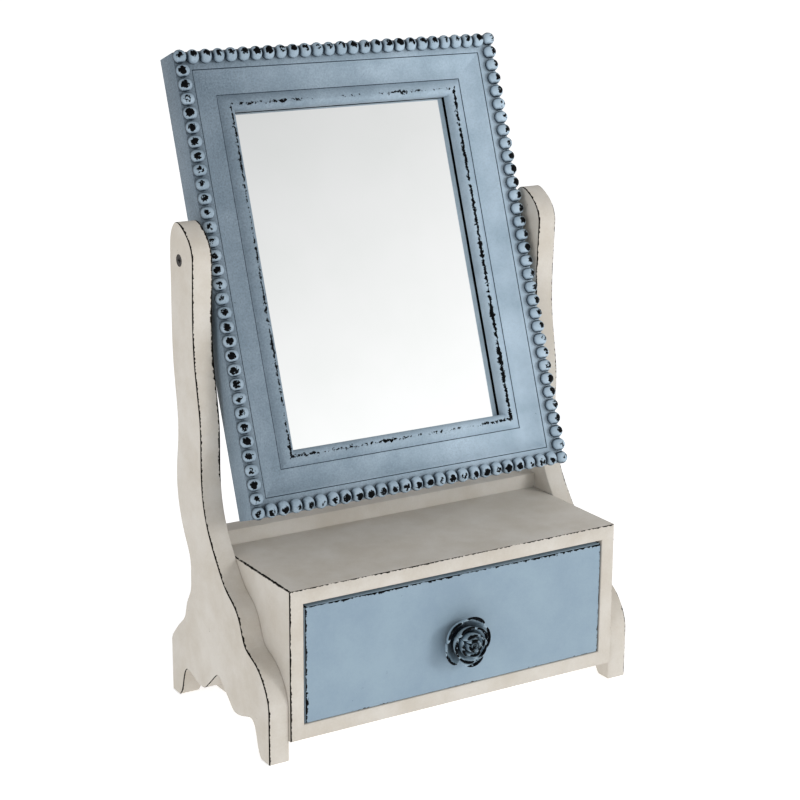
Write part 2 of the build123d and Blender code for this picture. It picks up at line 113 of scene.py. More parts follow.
# The rounding of the boards' arrises. Those of a side board's outline are longer than the ones round holes
OUTLINE_LEAST = 200
SIDE_ARRIS = 0.7
CASE_ARRIS = 0.8
RAIL_ARRIS = 0.5

# The rose knob, from the axis out and from the drawer's front outward, a little within the CAD rose
ROSE_RADIUS = 18.7
ROSE_REACH = 21.5
WITHIN_RADIUS = 0.995
WITHIN_REACH = 0.99
PETAL_WALL = 1.5
BALL_CUT = 0.3
BUD_FOOT = 12
BUD_RIM = 18.8
BUD_INNER_RADIUS = 0.4
BUD_GROWTH = 2.6
BUD_WALL = 0.9
BUD_TURNS = 2
TURN_STEPS = 14
CALYX_FOOT_RADIUS = 8.4
CALYX_NECK_RADIUS = 6
CALYX_HEIGHT = 9
CALYX_ARRIS = 0.8

# Paints: the lighter and the darker clouds of the coat, the ground under it, and the glaze over it, also
# used as painted shade
CREAM = ("#CAC5BD", "#BFB8AD", "#0C0806", "#7A6C58")
FRAME_BLUE = ("#AFC2D1", "#9AAEBD", "#050608", "#2C3945")
DRAWER_BLUE = ("#8CA0AE", "#8397A7", "#050608", "#2C3945")
ROSE_BLUE = ("#A6BAC6", "#8499A8", "#04060A", "#16202A")

# The flecks in the paint: their spacing, the share of it that is their radius, and how many are left out
FLECK_SPACING = 17
FLECK_RADIUS = 0.024
FLECKS_LEFT_OUT = 0.9

# A straight edge where paint is rubbed: its axis, its place there, the way in from it, how far the wear
# reaches, how strong it is, and the height about which it begins
Edge = namedtuple("Edge", "axis place way_in reach strength start", defaults=(0,))
START_BLUR = 12
BELOW_FEET = -50
ABOVE_CASE = 165

FRONT = Vector((0, -1, 0))
UP = Vector((0, 0, 1))

# The studio, in metres: its floor, and the way toward which its air is bright
FLOOR_SIZE = 60
FLOOR_BELOW = 0.0002
BRIGHT_WAY = (0.5, 0, -2.13)

pivot = Vector(next(j for j in frame["joints"] if j["name"] == "mirror_tilt")["pos_m"])


def colour(code):
    """An sRGB hex colour as linear red, green, blue and alpha."""
    channels = [int(code[i : i + 2], 16) / 255 for i in (1, 3, 5)]
    linear = [c / 12.92 if c <= 0.04045 else ((c + 0.055) / 1.055) ** 2.4 for c in channels]
    return (*linear, 1)


def node(owner, kind, inputs=None, **settings):
    """Adds a node to a material or the world with its settings, and sets or links its inputs."""
    made = owner.node_tree.nodes.new(kind)
    for key, value in settings.items():
        setattr(made, key, value)
    for key, value in (inputs or {}).items():
        if isinstance(value, bpy.types.NodeSocket):
            owner.node_tree.links.new(value, made.inputs[key])
        else:
            made.inputs[key].default_value = value
    return made


def blank_material(name):
    material = bpy.data.materials.new(name)
    material.use_nodes = True
    material.node_tree.nodes.clear()
    return material


def per_mm(size):
    """The scale at which a pattern repeats about every `size` millimetres."""
    return 1 / (size * MM)


def blend(material, value, low, high, first, last):
    """A colour that goes from the first to the last as a value goes from low to high."""
    share = node(
        material, "ShaderNodeMapRange", {"Value": value, "From Min": low, "From Max": high}
    ).outputs["Result"]
    mixed = {0: share, 6: colour(first), 7: colour(last)}
    return node(material, "ShaderNodeMix", mixed, data_type="RGBA").outputs[2]


def near_edges(material, place, edges):
    """How far the paint is rubbed beside straight edges, on the faces that don't look along their axis."""
    along = node(material, "ShaderNodeSeparateXYZ", {"Vector": place}).outputs
    normal = node(material, "ShaderNodeTexCoord").outputs["Normal"]
    facing = node(material, "ShaderNodeSeparateXYZ", {"Vector": normal}).outputs
    total = 0
    for edge in edges:
        away = node(
            material,
            "ShaderNodeMath",
            {0: along[edge.axis], 1: edge.way_in, 2: -edge.way_in * edge.place * MM},
            operation="MULTIPLY_ADD",
        ).outputs[0]
        band = node(
            material,
            "ShaderNodeMapRange",
            {"Value": away, "From Max": edge.reach * MM, "To Min": edge.strength, "To Max": 0},
        ).outputs["Result"]
        low = (edge.start - START_BLUR) * MM
        high = (edge.start + START_BLUR) * MM
        level = node(
            material, "ShaderNodeMapRange", {"Value": along["Z"], "From Min": low, "From Max": high}
        ).outputs["Result"]
        flat = node(material, "ShaderNodeMath", {0: facing[edge.axis]}, operation="ABSOLUTE").outputs[0]
        beside = node(material, "ShaderNodeMath", {0: flat, 1: 0.8}, operation="LESS_THAN").outputs[0]
        band = node(material, "ShaderNodeMath", {0: band, 1: level}, operation="MULTIPLY").outputs[0]
        band = node(material, "ShaderNodeMath", {0: band, 1: beside}, operation="MULTIPLY").outputs[0]
        total = node(material, "ShaderNodeMath", {0: band, 1: total}, operation="MAXIMUM").outputs[0]
    return total


def chalk_paint(name, light, dark, ground, glaze_and_shade_colour, lean=0, blotch=26, edges=()):
    """Chalk paint over a black ground, brushed on wood and rubbed through at the arrises.
    It is matt and slightly cloudy, the brush leaves faint ridges along X, and the ground shows as black
    beside the given edges and where the attribute "rubbed" is high. Dark glaze and painted shade lie where
    the attribute "glaze_and_painted_shade" is high. `lean` turns the pattern with a piece that leans, and
    `blotch` is the size of its clouds."""
    material = blank_material(name)
    place = node(material, "ShaderNodeTexCoord").outputs["Object"]
    placed = node(
        material, "ShaderNodeMapping", {"Vector": place, "Rotation": (lean, 0, 0)}
    ).outputs["Vector"]
    clouds = node(
        material,
        "ShaderNodeTexNoise",
        {"Vector": placed, "Scale": per_mm(blotch), "Detail": 4, "Roughness": 0.6},
    ).outputs["Fac"]
    grit = node(
        material,
        "ShaderNodeTexNoise",
        {"Vector": placed, "Scale": per_mm(1.3), "Detail": 3, "Roughness": 0.65},
    ).outputs["Fac"]
    mottle = node(
        material, "ShaderNodeMath", {0: clouds, 1: 0.75}, operation="MULTIPLY"
    ).outputs[0]
    mottle = node(
        material, "ShaderNodeMath", {0: grit, 1: 0.25, 2: mottle}, operation="MULTIPLY_ADD"
    ).outputs[0]
    coat = blend(material, mottle, 0.38, 0.62, dark, light)

    # Pinholes and flecks, a few to each hand's breadth
    cells = node(
        material, "ShaderNodeTexVoronoi", {"Vector": placed, "Scale": per_mm(FLECK_SPACING)}
    )
    kept = node(
        material, "ShaderNodeSeparateColor", {"Color": cells.outputs["Color"]}
    ).outputs["Red"]
    kept = node(
        material, "ShaderNodeMath", {0: kept, 1: FLECKS_LEFT_OUT}, operation="GREATER_THAN"
    ).outputs[0]
    distance = cells.outputs["Distance"]
    near = node(
        material, "ShaderNodeMath", {0: distance, 1: FLECK_RADIUS}, operation="LESS_THAN"
    ).outputs[0]
    flecks = node(material, "ShaderNodeMath", {0: kept, 1: near}, operation="MULTIPLY").outputs[0]

    # Where the paint is rubbed through: ragged patches a millimetre or two across, that come and go
    ragged = node(
        material,
        "ShaderNodeTexNoise",
        {"Vector": placed, "Scale": per_mm(2.4), "Detail": 5, "Roughness": 0.62},
    ).outputs["Fac"]
    broad = node(
        material, "ShaderNodeTexNoise", {"Vector": placed, "Scale": per_mm(24), "Detail": 2}
    ).outputs["Fac"]
    rubbed = node(material, "ShaderNodeAttribute", attribute_name="rubbed").outputs["Fac"]
    if edges:
        worn = near_edges(material, place, edges)
        rubbed = node(
            material, "ShaderNodeMath", {0: rubbed, 1: worn}, operation="MAXIMUM"
        ).outputs[0]
    through = node(
        material, "ShaderNodeMath", {0: ragged, 1: 1.7, 2: rubbed}, operation="MULTIPLY_ADD"
    ).outputs[0]
    through = node(
        material, "ShaderNodeMath", {0: broad, 1: 0.8, 2: through}, operation="MULTIPLY_ADD"
    ).outputs[0]
    bare = node(
        material,
        "ShaderNodeMapRange",
        {"Value": through, "From Min": 1.72, "From Max": 1.8},
        interpolation_type="SMOOTHSTEP",
    ).outputs["Result"]
    bare = node(material, "ShaderNodeMath", {0: bare, 1: flecks}, operation="MAXIMUM").outputs[0]

    # Glaze and painted shade, grainy where it thins out
    glaze_and_painted_shade = node(material, "ShaderNodeAttribute", attribute_name="glaze_and_painted_shade").outputs["Fac"]
    glaze_and_shade_share = node(
        material, "ShaderNodeMath", {0: grit, 1: 0.5, 2: glaze_and_painted_shade}, operation="MULTIPLY_ADD"
    ).outputs[0]
    glaze_and_shade_share = node(
        material, "ShaderNodeMapRange", {"Value": glaze_and_shade_share, "From Min": 0.4, "From Max": 1.15}
    ).outputs["Result"]
    coat_with_glaze_and_shade = node(
        material, "ShaderNodeMix", {0: glaze_and_shade_share, 6: coat, 7: colour(glaze_and_shade_colour)}, data_type="RGBA"
    ).outputs[2]
    shown = node(
        material, "ShaderNodeMix", {0: bare, 6: coat_with_glaze_and_shade, 7: colour(ground)}, data_type="RGBA"
    ).outputs[2]

    # Brush ridges, and the step down to the ground where the paint is gone
    brushed = node(
        material,
        "ShaderNodeMapping",
        {"Vector": placed, "Scale": (per_mm(45), per_mm(1.4), per_mm(1.4))},
    ).outputs["Vector"]
    ridges = node(
        material, "ShaderNodeTexNoise", {"Vector": brushed, "Scale": 1, "Detail": 3}
    ).outputs["Fac"]
    height = node(
        material, "ShaderNodeMath", {0: grit, 1: 0.5, 2: ridges}, operation="MULTIPLY_ADD"
    ).outputs[0]
    height = node(
        material, "ShaderNodeMath", {0: bare, 1: -0.9, 2: height}, operation="MULTIPLY_ADD"
    ).outputs[0]
    bump = node(
        material, "ShaderNodeBump", {"Height": height, "Strength": 0.45, "Distance": 0.12 * MM}
    ).outputs["Normal"]
    sheen = node(
        material, "ShaderNodeMapRange", {"Value": bare, "To Min": 0.3, "To Max": 0.06}
    ).outputs["Result"]
    surface = node(
        material,
        "ShaderNodeBsdfPrincipled",
        {"Base Color": shown, "Roughness": 0.58, "Specular IOR Level": sheen, "Normal": bump},
    )
    node(material, "ShaderNodeOutputMaterial", {"Surface": surface.outputs[0]})
    return material


def bare_timber(name, light, dark):
    """Planed softwood, unfinished: pale, with darker latewood lines along X and open pores."""
    material = blank_material(name)
    place = node(material, "ShaderNodeTexCoord").outputs["Object"]
    drawn = node(
        material,
        "ShaderNodeMapping",
        {"Vector": place, "Scale": (0.06, 1, 1), "Rotation": (0.03, 0.02, 0.04)},
    ).outputs["Vector"]
    rings = node(
        material,
        "ShaderNodeTexNoise",
        {"Vector": drawn, "Scale": per_mm(8.8), "Detail": 5, "Roughness": 0.55, "Distortion": 0.4},
    ).outputs["Fac"]
    pores = node(
        material, "ShaderNodeTexNoise", {"Vector": drawn, "Scale": per_mm(0.7), "Detail": 2}
    ).outputs["Fac"]
    tone = node(
        material, "ShaderNodeMath", {0: pores, 1: 0.3, 2: rings}, operation="MULTIPLY_ADD"
    ).outputs[0]
    shown = blend(material, tone, 0.5, 0.85, light, dark)
    bump = node(
        material, "ShaderNodeBump", {"Height": tone, "Strength": 0.4, "Distance": 0.15 * MM}
    ).outputs["Normal"]
    surface = node(
        material,
        "ShaderNodeBsdfPrincipled",
        {"Base Color": shown, "Roughness": 0.62, "IOR": 1.45, "Normal": bump},
    )
    node(material, "ShaderNodeOutputMaterial", {"Surface": surface.outputs[0]})
    return material


def pressed_fibre(name, light, dark):
    """Hardboard, pressed from wet wood fibre: brown, flecked with fibres and a little shiny."""
    material = blank_material(name)
    place = node(material, "ShaderNodeTexCoord").outputs["Object"]
    fibres = node(
        material,
        "ShaderNodeTexNoise",
        {"Vector": place, "Scale": per_mm(1.1), "Detail": 6, "Roughness": 0.75, "Distortion": 1.5},
    ).outputs["Fac"]
    broad = node(
        material, "ShaderNodeTexNoise", {"Vector": place, "Scale": per_mm(35), "Detail": 2}
    ).outputs["Fac"]
    tone = node(
        material, "ShaderNodeMath", {0: broad, 1: 0.5, 2: fibres}, operation="MULTIPLY_ADD"
    ).outputs[0]
    shown = blend(material, tone, 0.55, 0.95, dark, light)
    bump = node(
        material, "ShaderNodeBump", {"Height": fibres, "Strength": 0.5, "Distance": 0.1 * MM}
    ).outputs["Normal"]
    surface = node(
        material,
        "ShaderNodeBsdfPrincipled",
        {"Base Color": shown, "Roughness": 0.45, "IOR": 1.5, "Normal": bump},
    )
    node(material, "ShaderNodeOutputMaterial", {"Surface": surface.outputs[0]})
    return material


def plated_steel(name, light, dark, smoothest, roughest):
    """Steel fasteners, plated or blackened: a metal that is a little cloudy in colour and in gloss."""
    material = blank_material(name)
    place = node(material, "ShaderNodeTexCoord").outputs["Object"]
    clouds = node(
        material, "ShaderNodeTexNoise", {"Vector": place, "Scale": per_mm(1.8), "Detail": 4}
    ).outputs["Fac"]
    shown = blend(material, clouds, 0.35, 0.65, dark, light)
    roughness = node(
        material, "ShaderNodeMapRange", {"Value": clouds, "To Min": smoothest, "To Max": roughest}
    ).outputs["Result"]
    surface = node(
        material,
        "ShaderNodeBsdfPrincipled",
        {"Base Color": shown, "Metallic": 1, "Roughness": roughness},
    )
    node(material, "ShaderNodeOutputMaterial", {"Surface": surface.outputs[0]})
    return material


def silvered_glass(name):
    """Float glass, silvered behind: a clear even reflection, a trace greener and greyer than the room."""
    material = blank_material(name)
    place = node(material, "ShaderNodeTexCoord").outputs["Object"]
    haze = node(
        material, "ShaderNodeTexNoise", {"Vector": place, "Scale": per_mm(60), "Detail": 3}
    ).outputs["Fac"]
    shown = blend(material, haze, 0.3, 0.7, "#F4F6F5", "#F8F9F9")
    roughness = node(
        material, "ShaderNodeMapRange", {"Value": haze, "To Max": 0.012}
    ).outputs["Result"]
    surface = node(
        material,
        "ShaderNodeBsdfPrincipled",
        {"Base Color": shown, "Metallic": 1, "Roughness": roughness},
    )
    node(material, "ShaderNodeOutputMaterial", {"Surface": surface.outputs[0]})
    return material


cream_paint = chalk_paint("cream_chalk_paint", *CREAM)
blue_paint = chalk_paint("blue_chalk_paint", *FRAME_BLUE, lean=-MIRROR_LEAN)

# The case is rubbed most along its left and its top
case_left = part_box("case_left_board")[0].x / MM
case_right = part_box("case_right_board")[1].x / MM
case_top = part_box("case_top_board")[1].z / MM
case_paint = chalk_paint(
    "case_chalk_paint",
    *CREAM,
    edges=(
        Edge("X", case_left, 1, 1.9, 1.2),
        Edge("X", case_right, -1, 1.3, 0.6),
        Edge("Z", case_top, -1, 1.7, 0.85),
    ),
)

# The drawer's rounded arris is rubbed most at the left, then at the right and along the top
front_low, front_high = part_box("drawer_front")
drawer_paint = chalk_paint(
    "drawer_chalk_paint",
    *DRAWER_BLUE,
    blotch=40,
    edges=(
        Edge("X", front_low.x / MM, 1, 2.9, 1.05),
        Edge("X", front_high.x / MM, -1, 2.5, 0.85),
        Edge("Z", front_high.z / MM, -1, 2.7, 0.85),
        Edge("Z", front_low.z / MM, 1, 2, 0.5),
    ),
)

# A side board is rubbed along the whole of its outer arris, and darkened to its black ground along the
# inner one above the case
board_paint = {}
for side, way_in, outer_reach, outer_wear, inner_reach, inner_darkening in (
    ("left", 1, 2.0, 1.15, 2.6, 1.15),
    ("right", -1, 1.8, 0.75, 2.0, 1.05),
):
    outer, inner = sorted((end.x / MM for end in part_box(f"{side}_side_board")), key=abs, reverse=True)
    board_paint[side] = chalk_paint(
        f"{side}_board_chalk_paint",
        *CREAM,
        edges=(
            Edge("X", outer, way_in, outer_reach, outer_wear, BELOW_FEET),
            Edge("X", inner, -way_in, inner_reach, inner_darkening, ABOVE_CASE),
        ),
    )
rose_paint = chalk_paint("rose_chalk_paint", *ROSE_BLUE, blotch=9)
planed_wood = bare_timber("planed_pine", "#DCC199", "#B98F5C")
hardboard = pressed_fibre("pressed_hardboard", "#8A6242", "#5C3E28")
zinc_plate = plated_steel("zinc_plated_steel", "#C9C8C2", "#A5A49E", 0.25, 0.42)
black_steel = plated_steel("blackened_steel", "#3A3532", "#171412", 0.3, 0.5)
mirror_silver = silvered_glass("silvered_float_glass")


def select_only(piece):
    bpy.ops.object.select_all(action="DESELECT")
    piece.select_set(True)
    bpy.context.view_layer.objects.active = piece


def edit(piece, kind="VERT"):
    """Opens a piece in edit mode with nothing selected."""
    select_only(piece)
    bpy.ops.object.mode_set(mode="EDIT")
    bpy.ops.mesh.select_mode(type=kind)
    bpy.ops.mesh.select_all(action="DESELECT")


def pick(piece, kind, test):
    """Selects in edit mode the points, edges or faces of a piece that pass a test."""
    bpy.ops.mesh.select_mode(type=kind)
    bpy.ops.mesh.select_all(action="DESELECT")
    bpy.ops.object.mode_set(mode="OBJECT")
    mesh = piece.data
    elements = {"VERT": mesh.vertices, "EDGE": mesh.edges, "FACE": mesh.polygons}[kind]
    chosen = [test(element) for element in elements]
    elements.foreach_set("select", chosen)
    bpy.ops.object.mode_set(mode="EDIT")


def close_edit(sharp=35):
    """Leaves edit mode, with faces that meet at under `sharp` degrees shaded as one surface."""
    bpy.ops.object.mode_set(mode="OBJECT")
    bpy.ops.object.shade_smooth_by_angle(angle=radians(sharp))


def named(name):
    """Names the piece that was just made, and its mesh."""
    piece = bpy.context.object
    piece.name = name
    piece.data.name = name
    return piece


def apply_modifiers(piece):
    select_only(piece)
    for modifier in list(piece.modifiers):
        bpy.ops.object.modifier_apply(modifier=modifier.name)


def weather(piece, name, amount):
    """Writes how far each point of a piece is rubbed through, or glazed, worked out from its place."""
    layer = piece.data.attributes.get(name) or piece.data.attributes.new(name, "FLOAT", "POINT")
    for point, value in zip(piece.data.vertices, layer.data):
        value.value = amount(point.co)


def stand_for(piece, body, material, node_name):
    """Gives a finished piece its paint, its body and the CAD piece that it stands for."""
    piece.data.materials.clear()
    piece.data.materials.append(material)
    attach(piece, body)
    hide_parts(node_name)


def join(pieces, name):
    bpy.ops.object.select_all(action="DESELECT")
    for piece in pieces:
        piece.select_set(True)
    bpy.context.view_layer.objects.active = pieces[0]
    bpy.ops.object.join()
    return named(name)


def copy_of(node_name, name):
    """A copy of a CAD piece to finish by hand, its triangles merged into whole faces, left in edit mode."""
    source = frame["nodes"][node_name]
    piece = source.copy()
    piece.data = source.data.copy()
    for key in list(piece.keys()):
        del piece[key]
    piece.parent = None
    bpy.context.scene.collection.objects.link(piece)
    piece.name = name
    piece.data.name = name
    select_only(piece)
    bpy.ops.mesh.customdata_custom_splitnormals_clear()
    edit(piece)
    bpy.ops.mesh.select_all(action="SELECT")
    bpy.ops.mesh.remove_doubles(threshold=0.002 * MM)
    bpy.ops.mesh.dissolve_limited(angle_limit=radians(0.6))
    return piece


def edge_faces(piece):
    """For each edge of a piece open in edit mode, the normals of the faces beside it."""
    bpy.ops.object.mode_set(mode="OBJECT")
    meeting = {}
    for face in piece.data.polygons:
        for key in face.edge_keys:
            meeting.setdefault(key, []).append(face.normal.copy())
    bpy.ops.object.mode_set(mode="EDIT")
    return meeting


def long_arrises(piece, least):
    """The arrises round a board's two broad faces, as edges, without the short ones round its holes."""
    meeting = edge_faces(piece)
    bpy.ops.object.mode_set(mode="OBJECT")
    places = [point.co.copy() for point in piece.data.vertices]
    bpy.ops.object.mode_set(mode="EDIT")
    beside = {}
    for key, normals in meeting.items():
        across = sorted(abs(normal.x) for normal in normals)
        if len(across) == 2 and across[0] < 0.2 and across[1] > 0.99:
            for i in key:
                beside.setdefault(i, []).append(key)
    chosen = set()
    seen = set()
    for start in beside:
        loop = set()
        waiting = [start]
        while waiting:
            here = waiting.pop()
            if here not in seen:
                seen.add(here)
                loop.update(beside[here])
                waiting += [i for key in beside[here] for i in key]
        if sum((places[a] - places[b]).length for a, b in loop) > least:
            chosen |= loop
    return chosen


def looks(normals, way):
    """Whether one of the faces beside an edge looks straight one way."""
    return any(normal.dot(way) > 0.99 for normal in normals)


def case_arrises(board, out):
    """The arrises round a case board's outer face, with its mitred ends, and along its inner front."""
    chosen = set()
    for key, normals in edge_faces(board).items():
        mitre = any(-0.8 < normal.dot(out) < -0.6 for normal in normals)
        front = looks(normals, FRONT)
        if looks(normals, out) and (front or mitre or looks(normals, -FRONT)):
            chosen.add(key)
        if looks(normals, -out) and front:
            chosen.add(key)
    return chosen


def rail_arrises(rail):
    """The arrises along the front and the back of the rail's top."""
    chosen = set()
    for key, normals in edge_faces(rail).items():
        if looks(normals, UP) and (looks(normals, FRONT) or looks(normals, -FRONT)):
            chosen.add(key)
    return chosen


def soften(piece, edges, width, segments=3):
    """Rounds a piece's edges, each given by its two points, and leaves edit mode."""
    pick(piece, "EDGE", lambda edge: tuple(sorted(edge.vertices)) in edges)
    bpy.ops.mesh.bevel(offset=width * MM, segments=segments, profile=0.5, clamp_overlap=False)
    close_edit()


# Side boards: the arrises round the outline are softened, and the holes stay crisp
for side in ("left", "right"):
    board = copy_of(f"{side}_side_board", f"{side}_side_board_painted")
    soften(board, long_arrises(board, OUTLINE_LEAST * MM), SIDE_ARRIS, segments=4)
    stand_for(board, "stand", board_paint[side], f"{side}_side_board")

# Case boards: the outer and front arrises are softened, and the mitres stay closed
for node_name, out in (
    ("case_left_board", Vector((-1, 0, 0))),
    ("case_right_board", Vector((1, 0, 0))),
    ("case_top_board", UP),
    ("case_bottom_board", -UP),
):
    board = copy_of(node_name, f"{node_name}_painted")
    soften(board, case_arrises(board, out), CASE_ARRIS)
    stand_for(board, "stand", case_paint, node_name)

# Back rail
rail = copy_of("back_rail", "back_rail_painted")
soften(rail, rail_arrises(rail), RAIL_ARRIS)
stand_for(rail, "stand", cream_paint, "back_rail")

# Drawer front: its CAD shape, with the rounded arris shaded smooth
front = copy_of("drawer_front", "drawer_front_painted")
close_edit()
stand_for(front, "drawer", drawer_paint, "drawer_front")


def arc(first, last, bulge, steps):
    """Points from one end to the other of a round stretch that rises `bulge` above its chord."""
    chord = Vector(last) - Vector(first)
    half = chord.length / 2
    radius = (half * half + bulge * bulge) / (2 * bulge)
    upward = Vector((-chord.y, chord.x)).normalized()
    centre = (Vector(first) + Vector(last)) / 2 + upward * (bulge - radius)
    points = []
    for i in range(1, steps + 1):
        along = -half + 2 * half * i / steps
        rise = sqrt(radius * radius - along * along) * (1 if radius > 0 else -1)
        points.append(tuple(centre + chord.normalized() * along + upward * rise))
    return points


def moulding_points():
    """The section of the frame's moulding: distance in from its outer side, and height."""
    points = [(0, 0), (QUIRK_INSET - QUIRK_HALF_WIDTH, 0), (QUIRK_INSET, -QUIRK_DEPTH)]
    points.append((QUIRK_INSET + QUIRK_HALF_WIDTH, -COVE_TOP_DROP))
    points += arc(points[-1], (COVE_END, -COVE_BOTTOM_DROP), -COVE_HOLLOW, 9)
    points.append((COVE_END + QUIRK_HALF_WIDTH, -COVE_BOTTOM_DROP - QUIRK_HALF_WIDTH))
    points += arc(points[-1], (CREST, -CREST_DROP), SWELL_BULGE, 8)
    points += arc(points[-1], (MOULDING_WIDTH, -SIGHT_DROP), FALL_BULGE, 5)
    points.append((MOULDING_WIDTH, -LIP_DROP))
    points.append((MOULDING_WIDTH - RABBET_WIDTH, -LIP_DROP))
    points.append((MOULDING_WIDTH - RABBET_WIDTH, -FRAME_THICKNESS))
    points.append((0, -FRAME_THICKNESS))
    return points


def moulding_length(name, reach, length):
    """One mitred length of moulding along X, its outer side facing +Y at `reach` from the middle."""
    points = moulding_points()
    bpy.ops.object.select_all(action="DESELECT")
    start = (-length / 2 * MM, (reach - points[0][0]) * MM, points[0][1] * MM)
    bpy.ops.mesh.primitive_plane_add(size=MM, location=(0, 0, 0))
    piece = named(name)
    edit(piece)
    bpy.ops.mesh.select_all(action="SELECT")
    bpy.ops.mesh.merge(type="CENTER")
    bpy.ops.transform.translate(value=start)
    for before, after in zip(points, points[1:] + points[:1]):
        step = (0, (before[0] - after[0]) * MM, (after[1] - before[1]) * MM)
        bpy.ops.mesh.extrude_region_move(TRANSFORM_OT_translate={"value": step})
    bpy.ops.mesh.select_all(action="SELECT")
    bpy.ops.mesh.remove_doubles(threshold=0.01 * MM)
    bpy.ops.mesh.edge_face_add()
    bpy.ops.mesh.extrude_region_move(TRANSFORM_OT_translate={"value": (length * MM, 0, 0)})
    bpy.ops.mesh.select_all(action="SELECT")
    bpy.ops.mesh.normals_make_consistent(inside=False)
    bpy.ops.object.mode_set(mode="OBJECT")
    rounded = piece.modifiers.new("rounded", "BEVEL")
    rounded.width = MOULDING_ARRIS * MM
    rounded.segments = 2
    rounded.limit_method = "ANGLE"
    rounded.angle_limit = radians(24)
    rounded.use_clamp_overlap = True
    apply_modifiers(piece)
    for end in (-1, 1):
        edit(piece)
        bpy.ops.mesh.select_all(action="SELECT")
        bpy.ops.mesh.bisect(
            plane_co=(end * length / 2 * MM, reach * MM, 0),
            plane_no=(end, -1, 0),
            use_fill=True,
            clear_outer=True,
        )
        close_edit(24)
    return piece


def bead(centre, size):
    """One oval bead, its pole at the place where it is rubbed most."""
    bpy.ops.object.select_all(action="DESELECT")
    bpy.ops.mesh.primitive_uv_sphere_add(
        segments=18, ring_count=11, radius=1, rotation=(-BEAD_RUB_LEAN, 0, 0)
    )
    made = bpy.context.object
    bpy.ops.object.transform_apply(location=False, rotation=True, scale=True)
    made.scale = size
    made.location = centre
    bpy.ops.object.transform_apply(location=True, rotation=True, scale=True)
    return made


def frame_painted_shade(place):
    """Painted shade across the frame: most at its upper left, least at its lower right."""
    return 0.38 - 0.24 * place.x / (FRAME_WIDTH / 2 * MM) + 0.06 * place.y / (FRAME_HEIGHT / 2 * MM)


def moulding_rub(point, reach, crest, strength):
    """How far a length is rubbed: along its crest. The rabbet behind its lip is painted wholly black, as
    painted shade.
    """
    inset = reach - point.y / MM
    drop = -point.z / MM
    # The rabbet behind the lip: painted shade, carried in "rubbed"
    if inset > MOULDING_WIDTH - RABBET_WIDTH - 0.5 and LIP_DROP - 0.1 < drop < LIP_DROP + 1:
        return RABBET_PAINTED_SHADE
    away = abs(inset - crest) / CREST_RUB_WIDTH
    return strength * max(0, 1 - away) if drop < CREST_RUB_DEPTH else 0


def moulding_glaze_and_shade(point, reach, turned):
    """How much glaze and painted shade lies on a length: most in its two grooves, and elsewhere the painted
    shade across the frame.
    """
    inset = reach - point.y / MM
    drop = -point.z / MM
    # Glaze and painted shade in the quirk and at the cove's foot, where the grooves lie in shade
    if abs(inset - QUIRK_INSET) < 0.25 and drop < 3:
        return 1.3
    if abs(inset - COVE_END - 0.2) < 0.35 and drop < 8:
        return 0.9
    return frame_painted_shade(turned @ point)


def bead_rub(point, centre, pole, wear):
    """How far a bead is rubbed: most about its pole."""
    toward = (point - centre).normalized().dot(pole)
    return wear * min(1, max(0, (toward - 0.62) / 0.3))


def bead_glaze_and_shade(point, centre, size, left_shade):
    """How much glaze and painted shade lies on a bead: most low down and against the beads beside it, where
    shade falls.
    """
    # Painted shade low on the bead and where it meets its neighbours, over the frame's painted shade
    low = 0.5 - (point.z - centre.z) / size.z
    side = abs(point.x - centre.x) / size.x
    return min(1.3, max(0.6 * left_shade, low * 1.7, (side - 0.62) * 3.4))


def worn_bead(centre, corner, left_shade):
    """One bead, a little smaller or larger than the next and rubbed a little more or less."""
    half_width = BEAD_HALF_LENGTH if corner else BEAD_HALF_WIDTH
    size = Vector((BEAD_HALF_LENGTH, half_width, BEAD_HALF_HEIGHT)) * chance.uniform(*BEAD_UNEVEN) * MM
    made = bead(centre, size)
    pole = Vector((chance.uniform(-0.12, 0.12), sin(BEAD_RUB_LEAN), cos(BEAD_RUB_LEAN))).normalized()
    wear = chance.uniform(*(CORNER_BEAD_WEAR if corner else BEAD_WEAR))
    weather(made, "rubbed", lambda point: bead_rub(point, centre, pole, wear))
    weather(made, "glaze_and_painted_shade", lambda point: bead_glaze_and_shade(point, centre, size, left_shade))
    bpy.ops.object.shade_smooth()
    return made


# Frame: four mitred lengths, each turned from the top rail's place, with the corner beads on the stiles
chance = random.Random(7)
frame_place = (
    Matrix.Translation(pivot)
    @ Matrix.Rotation(pi / 2 - MIRROR_LEAN, 4, "X")
    @ Matrix.Translation((0, -FRAME_DROP * MM, FACE_AHEAD_OF_PIVOT * MM))
)
for node_name, turn, reach, length in (
    ("frame_top_rail", 0, FRAME_HEIGHT / 2, FRAME_WIDTH),
    ("frame_left_stile", 90, FRAME_WIDTH / 2, FRAME_HEIGHT),
    ("frame_bottom_rail", 180, FRAME_HEIGHT / 2, FRAME_WIDTH),
    ("frame_right_stile", 270, FRAME_WIDTH / 2, FRAME_HEIGHT),
):
    upright = turn in (90, 270)
    turned = Matrix.Rotation(radians(turn), 4, "Z")
    crest = CREST if upright else CREST - RAIL_RUB_SHIFT
    strength = CREST_RUB[node_name]
    moulding = moulding_length(f"{node_name}_moulding", reach, length)
    weather(moulding, "rubbed", lambda point: moulding_rub(point, reach, crest, strength))
    weather(moulding, "glaze_and_painted_shade", lambda point: moulding_glaze_and_shade(point, reach, turned))

    run = length - 2 * BEAD_ROW_INSET
    steps = round(run / BEAD_SPACING)
    beads = []
    for i in range(0, steps + 1) if upright else range(1, steps):
        corner = i in (0, steps)
        inset = BEAD_ROW_INSET if corner else BEAD_INSET
        centre = Vector((run * (i / steps - 0.5), reach - inset, BEAD_RISE)) * MM
        beads.append(worn_bead(centre, corner, frame_painted_shade(turned @ centre)))
    member = join([moulding] + beads, f"{node_name}_painted")
    member.matrix_world = frame_place @ turned
    select_only(member)
    bpy.ops.object.transform_apply(location=True, rotation=True, scale=True)
    stand_for(member, "mirror", blue_paint, node_name)

